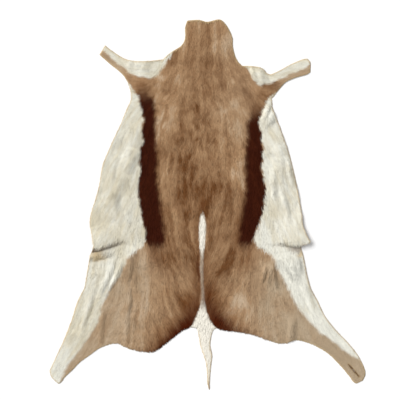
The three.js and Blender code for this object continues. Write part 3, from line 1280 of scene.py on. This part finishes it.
@dataclass
class Rim:
    """The hide's cut edge and its slit, read from the model's own solid."""

    node: str
    step: float = 3.5 * MM
    wall_slope: float = 0.002
    top_slope: float = 0.02

    def loops(self) -> list[Array]:
        """Closed loops of the edge in plan, the longest first.

        Returns:
            Evenly spaced points of each loop, in metres.
        """
        mesh = bpy.data.objects[self.node].data
        corners = np.empty(len(mesh.vertices) * 3)
        mesh.vertices.foreach_get("co", corners)
        corners = corners.reshape(-1, 3)
        names, index = np.unique(np.round(corners, 7), axis=0, return_inverse=True)
        index = index.reshape(-1)
        mesh.calc_loop_triangles()
        faces = np.empty(len(mesh.loop_triangles) * 3, dtype=int)
        mesh.loop_triangles.foreach_get("vertices", faces)
        faces = index[faces.reshape(-1, 3)]
        sides = np.cross(names[faces[:, 1]] - names[faces[:, 0]], names[faces[:, 2]] - names[faces[:, 0]])
        upright = sides[:, 2] / np.maximum(np.linalg.norm(sides, axis=1), 1e-12)
        touching: dict[tuple[int, int], list[int]] = defaultdict(list)
        for number, face in enumerate(faces):
            for a, b in ((face[0], face[1]), (face[1], face[2]), (face[2], face[0])):
                touching[(min(a, b), max(a, b))].append(number)
        beside: dict[int, list[int]] = defaultdict(list)
        for (a, b), pair in touching.items():
            slopes = sorted(upright[n] for n in pair)
            if len(slopes) == 2 and abs(slopes[0]) < self.wall_slope and slopes[1] > self.top_slope:
                beside[a].append(b)
                beside[b].append(a)
        found = self._walk(beside)
        loops = [self._even(names[loop][:, :2]) for loop in found if len(loop) > 3]
        return sorted(loops, key=len, reverse=True)

    @staticmethod
    def _walk(beside: dict[int, list[int]]) -> list[list[int]]:
        """Follows neighbours round into loops.

        Args:
            beside: The neighbours of each corner along the edge.

        Returns:
            The corners of each loop in order.
        """
        left = set(beside)
        loops = []
        while left:
            here = min(left, key=lambda corner: (len(beside[corner]), corner))
            loop = []
            while here is not None:
                loop.append(here)
                left.discard(here)
                here = next((n for n in beside[here] if n in left), None)
            loops.append(loop)
        return loops

    def _even(self, loop: Array) -> Array:
        """Spaces a closed loop's points evenly along it.

        Args:
            loop: The loop's points in order.

        Returns:
            The new points in order.
        """
        closed = np.vstack([loop, loop[:1]])
        travel = np.concatenate([[0.0], np.cumsum(np.hypot(*np.diff(closed, axis=0).T))])
        count = max(6, int(travel[-1] / self.step))
        at = np.linspace(0.0, travel[-1], count, endpoint=False)
        return np.column_stack([np.interp(at, travel, closed[:, k]) for k in (0, 1)])


def inside_loop(places: Array, loop: Array) -> Array:
    """Tells which places lie inside a closed loop.

    Args:
        places: Plan places in metres.
        loop: The loop's points in order.

    Returns:
        True for each place inside.
    """
    inside = np.zeros(len(places), dtype=bool)
    for a, b in zip(loop, np.roll(loop, -1, axis=0)):
        crosses = (a[1] > places[:, 1]) != (b[1] > places[:, 1])
        if a[1] != b[1]:
            at = (b[0] - a[0]) * (places[:, 1] - a[1]) / (b[1] - a[1]) + a[0]
            inside ^= crosses & (places[:, 0] < at)
    return inside


def distance_to(places: Array, points: Array) -> Array:
    """Distance from each place to the nearest of some points.

    Args:
        places: Plan places in metres.
        points: The points, in metres.

    Returns:
        The distance in metres for each place.
    """
    nearest = np.full(len(places), np.inf)
    batch = 4000
    for start in range(0, len(places), batch):
        part = places[start:start + batch]
        gaps = np.hypot(part[:, None, 0] - points[None, :, 0], part[:, None, 1] - points[None, :, 1])
        nearest[start:start + batch] = gaps.min(axis=1)
    return nearest


class Tract(Enum):
    """Stretches of the coat along the hide, each with its lowest place along Y in millimetres."""

    NECK_AND_SHOULDERS = 190
    BACK = 40
    LOIN = -105
    CROUP = -230
    THIGHS = -345
    SHANKS_AND_TAIL = -900


@dataclass
class Skin:
    """The dressed skin: a thin closed sheet on its folds, with the coat's zones stored on it."""

    lie: HairLie
    coat: Coat
    drape: Drape
    step: float = 4.4 * MM
    thickness: float = 1.8 * MM
    overhang: float = 0.3
    gape: float = 0.35
    scatter: float = 0.08
    clearance: float = 0.6
    seed: int = 4
    edge_length: float = 0.35
    edge_reach: float = 26 * MM
    crest_trim: float = 0.65
    tint: Streak = Streak(4 * MM, 4, 31, 0.3)

    def plan(self, loops: list[Array]) -> tuple[Array, Array, Array]:
        """Lays out the sheet's points and triangles in plan.

        Args:
            loops: The cut edge, then any slit.

        Returns:
            The points before the folds lean, the triangles, and each point's distance from the edge.
        """
        edge, slits = loops[0], [self._drawn_together(slit) for slit in loops[1:]]
        turn = np.roll(edge, -1, axis=0) - np.roll(edge, 1, axis=0)
        outwards = np.column_stack([turn[:, 1], -turn[:, 0]])
        if np.sum(edge[:, 0] * np.roll(edge[:, 1], -1) - np.roll(edge[:, 0], -1) * edge[:, 1]) < 0:
            outwards = -outwards
        outwards /= np.linalg.norm(outwards, axis=1, keepdims=True)
        flow = self.lie.flow(edge)
        lead = np.maximum(0.0, np.sum(flow * outwards, axis=1))
        edge = edge - flow * (lead * self.lie.length(edge) * self.overhang)[:, None]
        rings = [edge, *slits]
        low, high = edge.min(axis=0), edge.max(axis=0)
        columns = np.arange(low[0], high[0], self.step)
        rows = np.arange(low[1], high[1], self.step * math.sqrt(0.75))
        grid = np.array([(x + (j % 2) * self.step / 2, y) for j, y in enumerate(rows) for x in columns])
        shift = np.random.default_rng(self.seed).uniform(-self.scatter, self.scatter, grid.shape)
        grid += shift * self.step
        clear = distance_to(grid, np.vstack(rings)) > self.clearance * self.step
        grid = grid[clear & self._covers(grid, rings)]
        points = np.vstack([*rings, grid])
        links, start = [], 0
        for ring in rings:
            links += [(start + k, start + (k + 1) % len(ring)) for k in range(len(ring))]
            start += len(ring)
        laid = delaunay_2d_cdt([Vector(p) for p in points], links, [], 0, 1e-7)
        points = np.array([tuple(v) for v in laid[0]])
        triangles = np.array([f for f in laid[2] if len(f) == 3])
        triangles = triangles[self._covers(points[triangles].mean(axis=1), rings)]
        used, index = np.unique(triangles, return_inverse=True)
        points, triangles = points[used], index.reshape(-1, 3)
        return self.drape.unlean(points), triangles, distance_to(points, np.vstack(rings))

    def _drawn_together(self, slit: Array) -> Array:
        """Draws a slit's lips nearer each other.

        Args:
            slit: The slit's loop.

        Returns:
            The loop, narrower across its length.
        """
        middle = slit.mean(axis=0)
        way = np.linalg.svd(slit - middle, full_matrices=False)[2][0]
        along = np.outer((slit - middle) @ way, way)
        return middle + along + (slit - middle - along) * self.gape

    @staticmethod
    def _covers(places: Array, rings: list[Array]) -> Array:
        """Tells which places lie on the skin.

        Args:
            places: Plan places in metres.
            rings: The cut edge, then any slit.

        Returns:
            True for each place inside the edge and outside the slits.
        """
        on_skin = inside_loop(places, rings[0])
        for slit in rings[1:]:
            on_skin &= ~inside_loop(places, slit)
        return on_skin

    def build(self, loops: list[Array]) -> bpy.types.Object:
        """Makes the closed sheet with its zones, hair lie and tracts.

        Args:
            loops: The cut edge, then any slit.

        Returns:
            The sheet, with no materials yet.
        """
        before, triangles, inset = self.plan(loops)
        count = len(before)
        lift = self.drape.lift(before)
        places = before - np.column_stack([np.zeros(count), self.drape.lean(before)])
        normal = np.cross(*(np.diff(places[triangles], axis=1).transpose(1, 0, 2)))
        triangles[normal < 0] = triangles[normal < 0][:, ::-1]
        upper = np.column_stack([places, lift + self.thickness])
        under = np.column_stack([places, lift])
        walls = self._walls(triangles, count)
        faces = np.vstack([triangles, triangles[:, ::-1] + count])
        mesh = bpy.data.meshes.new("hide_skin")
        mesh.from_pydata(np.vstack([upper, under]).tolist(), [], faces.tolist() + walls, shade_flat=False)
        self._store(mesh, before, places, inset, triangles, len(walls))
        piece = bpy.data.objects.new("hide_skin", mesh)
        bpy.context.scene.collection.objects.link(piece)
        return piece

    @staticmethod
    def _walls(triangles: Array, count: int) -> list[tuple[int, int, int, int]]:
        """Faces of the cut edge between the hair side and the flesh side."""
        edges = {(int(t[k]), int(t[(k + 1) % 3])) for t in triangles for k in range(3)}
        return [(b, a, a + count, b + count) for a, b in sorted(edges) if (b, a) not in edges]

    def _store(
        self, mesh: bpy.types.Mesh, before: Array, places: Array, inset: Array, triangles: Array, walls: int
    ) -> None:
        """Stores the coat's zones, the hair's lie and the tracts on the sheet.

        Args:
            mesh: The sheet.
            before: Its points before the folds lean.
            places: Its points in plan.
            inset: Distance of each point from the cut edge.
            triangles: The hair side's triangles.
            walls: The number of faces on the cut edge.
        """
        trim = np.clip(self.edge_length + inset / self.edge_reach, self.edge_length, 1.0)
        beside = 1 - self.crest_trim * self.coat.beside_crest(before)
        zones = {
            "white": self.coat.white(before),
            "stripe": self.coat.stripe(before, self.coat.inner_fade, self.coat.end_fade),
            "bright": self.coat.crest_share(before),
            "soil": self.coat.soil(before),
            "dark": self.coat.dark(before),
            "tone": self.coat.tone(before),
            "ash": self.coat.spread_spots(self.coat.tones, "ash", before),
            # The crease layer holds painted shadow, under the tucks and in the slit.
            "crease": self.coat.mark(places),
            "cream": self.coat.cream(before, inset),
            "length": self.lie.length(before) * trim * beside,
            "tint": 0.5 + self.lie.streaks(before, self.tint),
        }
        for name, values in zones.items():
            layer = mesh.attributes.new(name, "FLOAT", "POINT")
            layer.data.foreach_set("value", np.tile(values, 2).astype(np.float32))
        flow = np.column_stack([self.lie.flow(before), np.zeros(len(before))])
        layer = mesh.attributes.new("flow", "FLOAT_VECTOR", "POINT")
        layer.data.foreach_set("vector", np.vstack([flow, flow]).astype(np.float32).ravel())
        height = places[triangles].mean(axis=1)[:, 1] / MM
        tract = np.zeros(len(triangles), dtype=np.int32)
        for number, stretch in enumerate(Tract):
            tract[height < stretch.value] = number + 1
        nowhere = np.full(len(triangles) + walls, -1, dtype=np.int32)
        layer = mesh.attributes.new("tract", "INT", "FACE")
        layer.data.foreach_set("value", np.concatenate([tract, nowhere]))
        slots = np.concatenate([np.zeros(len(triangles)), np.ones(len(triangles)), np.full(walls, 2)])
        mesh.polygons.foreach_set("material_index", slots.astype(np.int32))

    @staticmethod
    def dress(piece: bpy.types.Object, finishes: Iterable[bpy.types.Material]) -> None:
        """Gives the sheet its hair-side, flesh-side and cut-edge materials."""
        for finish in finishes:
            piece.data.materials.append(finish)


@dataclass
class Fur:
    """The coat of hair: flat-lying tapered locks grown over the skin, one piece for each tract."""

    width: float = 2.1 * MM
    spacing: float = 1.75 * MM
    density: float = 230000.0
    root: float = 0.36
    ridge: float = 0.02
    drop: float = 0.03
    arch: float = 0.15
    tip: float = 0.1
    yaw: float = 0.2
    pitch: float = 0.045
    roll: float = 0.25
    length_range: tuple[float, float] = (0.75, 1.25)
    width_range: tuple[float, float] = (0.7, 1.25)
    rise: float = 0.6
    tint_chance: float = 0.3
    seed: int = 17
    faces_a_lock: int = 10
    points_a_lock: int = 7
    rest_heights: tuple[float, ...] = (0.3, 0.3, 0.6, 0.3, 0.3, 0.9, 0.5)
    smoothness: float = 0.75

    def lock(self) -> bpy.types.Object:
        """Makes one lock, a unit long: three sides, rising from the root and lying over at the tip.

        Returns:
            The lock, lying along +X with its root at the origin.
        """
        low = self.arch - self.drop
        root = [(0.0, -self.root, -self.drop), (0.0, self.root, -self.drop), (0.0, 0.0, self.ridge)]
        belly = [(0.5, -0.5, low), (0.5, 0.5, low), (0.5, 0.0, self.arch)]
        corners = root + belly + [(1.0, 0.0, self.tip)]
        faces = [(0, 2, 1)]
        for a in range(3):
            b = (a + 1) % 3
            faces += [(a, b, b + 3), (a, b + 3, a + 3), (a + 3, b + 3, 6)]
        mesh = bpy.data.meshes.new("lock")
        mesh.from_pydata(corners, [], faces, shade_flat=False)
        piece = bpy.data.objects.new("lock", mesh)
        bpy.context.scene.collection.objects.link(piece)
        return piece

    def tree(self, lock: bpy.types.Object, coat: bpy.types.Material) -> bpy.types.NodeTree:
        """Builds the node tree that grows locks on one tract of the skin.

        Args:
            lock: The lock to repeat.
            coat: The hair's material.

        Returns:
            The tree, with its sizes as named inputs.
        """
        tree = bpy.data.node_groups.new("grow_hair", "GeometryNodeTree")
        tree.interface.new_socket("Geometry", in_out="INPUT", socket_type="NodeSocketGeometry")
        for name, kind in (("Tract", "Int"), ("Seed", "Int"), ("Spacing", "Float"), ("Density", "Float"),
                           ("Width", "Float"), ("Yaw", "Float"), ("Pitch", "Float")):
            tree.interface.new_socket(name, in_out="INPUT", socket_type=f"NodeSocket{kind}")
        tree.interface.new_socket("Geometry", in_out="OUTPUT", socket_type="NodeSocketGeometry")
        bench = NodeBench(tree)
        given = bench.node("NodeGroupInput").outputs

        def stored(name: str, kind: str) -> bpy.types.NodeSocket:
            """Output of a named attribute of the skin."""
            node = bench.node("GeometryNodeInputNamedAttribute", {"data_type": kind}, {"Name": name})
            return node.outputs["Attribute"]

        # In the next two nodes each kind of value has sockets of its own, reached by place.
        def chance(low: float, high: float, salt: int) -> Signal:
            """Adds a random number for each lock.

            Args:
                low: The least it can be.
                high: The most it can be.
                salt: What is added to the seed for it.

            Returns:
                The number.
            """
            seed = Signal(bench, given["Seed"]) + salt
            node = bench.node(
                "FunctionNodeRandomValue", {"data_type": "FLOAT"}, {2: low, 3: high, "Seed": seed}
            )
            return Signal(bench, node.outputs[1])

        here = bench.node(
            "FunctionNodeCompare",
            {"data_type": "INT", "operation": "EQUAL"},
            {2: stored("tract", "INT"), 3: given["Tract"]},
        )
        spread = bench.node(
            "GeometryNodeDistributePointsOnFaces",
            {"distribute_method": "POISSON"},
            {"Mesh": given["Geometry"], "Selection": here.outputs[0], "Distance Min": given["Spacing"],
             "Density Max": given["Density"], "Seed": given["Seed"]},
        )
        flow = stored("flow", "FLOAT_VECTOR")
        upright = bench.node(
            "FunctionNodeAlignRotationToVector", {"axis": "Z"}, {"Vector": spread.outputs["Normal"]}
        )
        laid = bench.node(
            "FunctionNodeAlignRotationToVector",
            {"axis": "X", "pivot_axis": "Z"},
            {"Rotation": upright.outputs[0], "Vector": flow},
        )
        yaw = chance(-1.0, 1.0, 1) * Signal(bench, given["Yaw"])
        pitch = chance(-1.0, 1.0, 2) * Signal(bench, given["Pitch"])
        roll = chance(-self.roll, self.roll, 3)
        turn = bench.node("ShaderNodeCombineXYZ", None, {"X": roll, "Y": pitch, "Z": yaw})
        euler = bench.node("FunctionNodeEulerToRotation", None, {0: turn.outputs[0]})
        turned = bench.node(
            "FunctionNodeRotateRotation",
            {"rotation_space": "LOCAL"},
            {0: laid.outputs[0], 1: euler.outputs[0]},
        )
        length = Signal(bench, stored("length", "FLOAT")) * chance(*self.length_range, 4)
        width = Signal(bench, given["Width"]) * chance(*self.width_range, 5)
        size = bench.node("ShaderNodeCombineXYZ", None, {"X": length, "Y": width, "Z": length * self.rise})
        tint = Signal(bench, stored("tint", "FLOAT")) * (1 - self.tint_chance)
        tint = tint + chance(0.0, self.tint_chance, 6)
        tinted = bench.node(
            "GeometryNodeStoreNamedAttribute",
            {"data_type": "FLOAT", "domain": "POINT"},
            {"Geometry": spread.outputs["Points"], "Name": "tint", "Value": tint},
        )
        grounded = bench.node(
            "GeometryNodeStoreNamedAttribute",
            {"data_type": "FLOAT_VECTOR", "domain": "POINT"},
            {"Geometry": tinted.outputs[0], "Name": "ground", "Value": spread.outputs["Normal"]},
        )
        shape = bench.node("GeometryNodeObjectInfo", None, {"Object": lock})
        grown = bench.node(
            "GeometryNodeInstanceOnPoints",
            None,
            {"Points": grounded.outputs[0], "Instance": shape.outputs["Geometry"],
             "Rotation": turned.outputs[0], "Scale": size.outputs[0]},
        )
        real = bench.node("GeometryNodeRealizeInstances", None, {"Geometry": grown.outputs[0]})
        dressed = bench.node(
            "GeometryNodeSetMaterial", None, {"Geometry": real.outputs[0], "Material": coat}
        )
        bench.node("NodeGroupOutput", None, {0: dressed.outputs[0]})
        return tree

    def grow(
        self, skin: bpy.types.Object, tree: bpy.types.NodeTree, number: int, stretch: Tract
    ) -> bpy.types.Object:
        """Grows the hair of one tract as a plain mesh.

        Args:
            skin: The sheet that the hair grows on.
            tree: The growing tree.
            number: The tract's number on the sheet.
            stretch: The tract.

        Returns:
            The tract's hair.
        """
        modifier = skin.modifiers.new("grow_hair", "NODES")
        modifier.node_group = tree
        sizes = {"Tract": number, "Seed": self.seed + number, "Spacing": self.spacing,
                 "Density": self.density, "Width": self.width, "Yaw": self.yaw, "Pitch": self.pitch}
        for item in tree.interface.items_tree:
            if item.in_out == "INPUT" and item.name in sizes:
                modifier[item.identifier] = sizes[item.name]
        evaluated = skin.evaluated_get(bpy.context.evaluated_depsgraph_get())
        mesh = bpy.data.meshes.new_from_object(evaluated)
        skin.modifiers.remove(modifier)
        name = f"hair_{stretch.name.lower()}"
        mesh.name = name
        for layer in GROWTH_LAYERS:
            if layer in mesh.attributes:
                mesh.attributes.remove(mesh.attributes[layer])
        self.lay_map(mesh)
        self.settle(mesh)
        piece = bpy.data.objects.new(name, mesh)
        bpy.context.scene.collection.objects.link(piece)
        return piece

    def settle(self, mesh: bpy.types.Mesh) -> None:
        """Rests each lock on the floor where it hangs over an edge, and blends its shading into the coat's.

        Args:
            mesh: The hair of one tract, with the skin's normal stored under each lock.
        """
        count = len(mesh.vertices)
        places = np.empty(count * 3, dtype=np.float32)
        mesh.vertices.foreach_get("co", places)
        places = places.reshape(-1, self.points_a_lock, 3)
        places[:, :, 2] = np.maximum(places[:, :, 2], np.array(self.rest_heights) * MM)
        mesh.vertices.foreach_set("co", places.ravel())
        mesh.update()
        ground = np.empty(count * 3, dtype=np.float32)
        mesh.attributes["ground"].data.foreach_get("vector", ground)
        own = np.empty(count * 3, dtype=np.float32)
        mesh.vertex_normals.foreach_get("vector", own)
        shaded = (ground * self.smoothness + own * (1 - self.smoothness)).reshape(-1, 3)
        shaded /= np.maximum(np.linalg.norm(shaded, axis=1, keepdims=True), 1e-6)
        mesh.normals_split_custom_set_from_vertices(shaded.tolist())
        mesh.attributes.remove(mesh.attributes["ground"])

    def lay_map(self, mesh: bpy.types.Mesh) -> None:
        """Gives each lock a cell of its own on the piece's UV map, with each side on its own strip.

        Args:
            mesh: The hair of one tract.
        """
        locks = len(mesh.polygons) // self.faces_a_lock
        cells = math.ceil(math.sqrt(locks))
        strip, gap = 0.29, 0.02
        root, belly, tip = 0.04, 0.5, 0.94
        cap = [(0.02, 0.9), (0.08, 0.9), (0.05, 0.96)]
        strips = []
        for side in range(3):
            low, high = side * strip + gap, side * strip + strip - gap
            strips += [(root, low), (root, high), (belly, high)]
            strips += [(root, low), (belly, high), (belly, low)]
            strips += [(belly, low), (belly, high), (tip, (low + high) / 2)]
        cell = np.array(cap + strips)
        corner = np.array([(k % cells, k // cells) for k in range(locks)], dtype=float)
        layout = (corner[:, None, :] + cell[None, :, :]) / cells
        layer = mesh.uv_layers.get("OFBake") or mesh.uv_layers.new(name="OFBake")
        layer.data.foreach_set("uv", layout.astype(np.float32).ravel())


@dataclass
class Studio:
    """Pale floor, soft light and a camera straight above the hide."""

    view_width: float = 1.2
    camera_height: float = 4.0
    centre: tuple[float, float] = (-0.0225, 0.0135)
    sensor: float = 36.0
    floor_gap: float = 0.4 * MM
    floor_size: float = 9.0
    floor_colour: tuple[float, ...] = linear(254, 254, 254)
    speck_colour: tuple[float, ...] = linear(246, 246, 245)
    speck_share: float = 0.02
    speck_scale: float = 40.0
    floor_roughness: float = 0.9
    fill: float = 0.44
    key_strength: float = 2.82
    key_place: tuple[float, float, float] = (-2.0, 1.3, 2.5)
    key_spread: float = 0.65

    def floor(self) -> bpy.types.Object:
        """Lays the floor just under the hide.

        Returns:
            The floor.
        """
        half = self.floor_size / 2
        corners = [(-half, -half), (half, -half), (half, half), (-half, half)]
        mesh = bpy.data.meshes.new("floor")
        mesh.from_pydata([(x, y, -self.floor_gap) for x, y in corners], [], [(0, 1, 2, 3)])
        material, bench, surface = new_material("pale_floor")
        speck = bench.noise(self.speck_scale, 2.0) * self.speck_share
        bench.feed(surface.inputs["Base Color"], bench.blend(speck, self.floor_colour, self.speck_colour))
        surface.inputs["Roughness"].default_value = self.floor_roughness
        mesh.materials.append(material)
        piece = bpy.data.objects.new("floor", mesh)
        bpy.context.scene.collection.objects.link(piece)
        return piece

    def light(self) -> None:
        """Sets the fill from all round and one soft lamp from the left of the neck."""
        world = bpy.data.worlds.new("studio")
        world.use_nodes = True
        sky = world.node_tree.nodes["Background"]
        sky.inputs["Color"].default_value = (1.0, 1.0, 1.0, 1.0)
        sky.inputs["Strength"].default_value = self.fill
        bpy.context.scene.world = world
        lamp = bpy.data.lights.new("key", "SUN")
        lamp.energy = self.key_strength
        lamp.angle = self.key_spread
        key = bpy.data.objects.new("key", lamp)
        key.location = self.key_place
        key.rotation_euler = (-Vector(self.key_place)).to_track_quat("-Z", "Y").to_euler()
        bpy.context.scene.collection.objects.link(key)

    def camera(self) -> None:
        """Hangs the camera straight above, neck at the top of the picture."""
        lens = bpy.data.cameras.new("camera")
        lens.sensor_width = self.sensor
        lens.lens = self.sensor * self.camera_height / self.view_width
        camera = bpy.data.objects.new("camera", lens)
        camera.location = (*self.centre, self.camera_height)
        bpy.context.scene.collection.objects.link(camera)
        bpy.context.scene.camera = camera
        bpy.context.scene.view_settings.view_transform = "Standard"


@dataclass
class Hide:
    """The whole hide: skin and hair, fitted to the model's solid and attached to its body."""

    node: str = "hide"
    body: str = "root"
    slot: str = "hair_on_hide"
    cut_size: tuple[float, float] = (0.948, 1.110)
    cut_area: float = 0.54
    coat: CoatFinish = CoatFinish("coat", 0.9)
    undercoat: CoatFinish = CoatFinish("undercoat", 0.8)
    suede: LeatherFinish = LeatherFinish("suede", linear(226, 212, 186), linear(200, 182, 152))
    edge: LeatherFinish = LeatherFinish("cut_edge", linear(206, 166, 112), linear(178, 132, 82))

    def build(self) -> list[bpy.types.Object]:
        """Returns:
            The skin and then the hair of each tract.
        """
        lie = HairLie()
        skin_maker = Skin(lie, Coat(lie), Drape())
        skin = skin_maker.build(Rim(self.node).loops())
        finishes = (self.undercoat, self.suede, self.edge)
        skin_maker.dress(skin, [finish.material() for finish in finishes])
        fur = Fur()
        lock = fur.lock()
        tree = fur.tree(lock, self.coat.material())
        hair = [fur.grow(skin, tree, number, stretch) for number, stretch in enumerate(Tract)]
        bpy.data.objects.remove(lock)
        for layer in GROWTH_LAYERS:
            skin.data.attributes.remove(skin.data.attributes[layer])
        for piece in (skin, *hair):
            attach(piece, self.body)
        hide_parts(self.node)
        return [skin, *hair]


def main() -> None:
    """Loads the frame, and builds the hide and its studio."""
    logging.basicConfig(level=logging.INFO, format="%(name)s: %(message)s")
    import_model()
    studio = Studio()
    studio.floor()
    studio.light()
    studio.camera()
    for piece in Hide().build():
        LOG.info("%s: %d triangles", piece.name, sum(len(p.vertices) - 2 for p in piece.data.polygons))


if __name__ == "__main__":
    main()
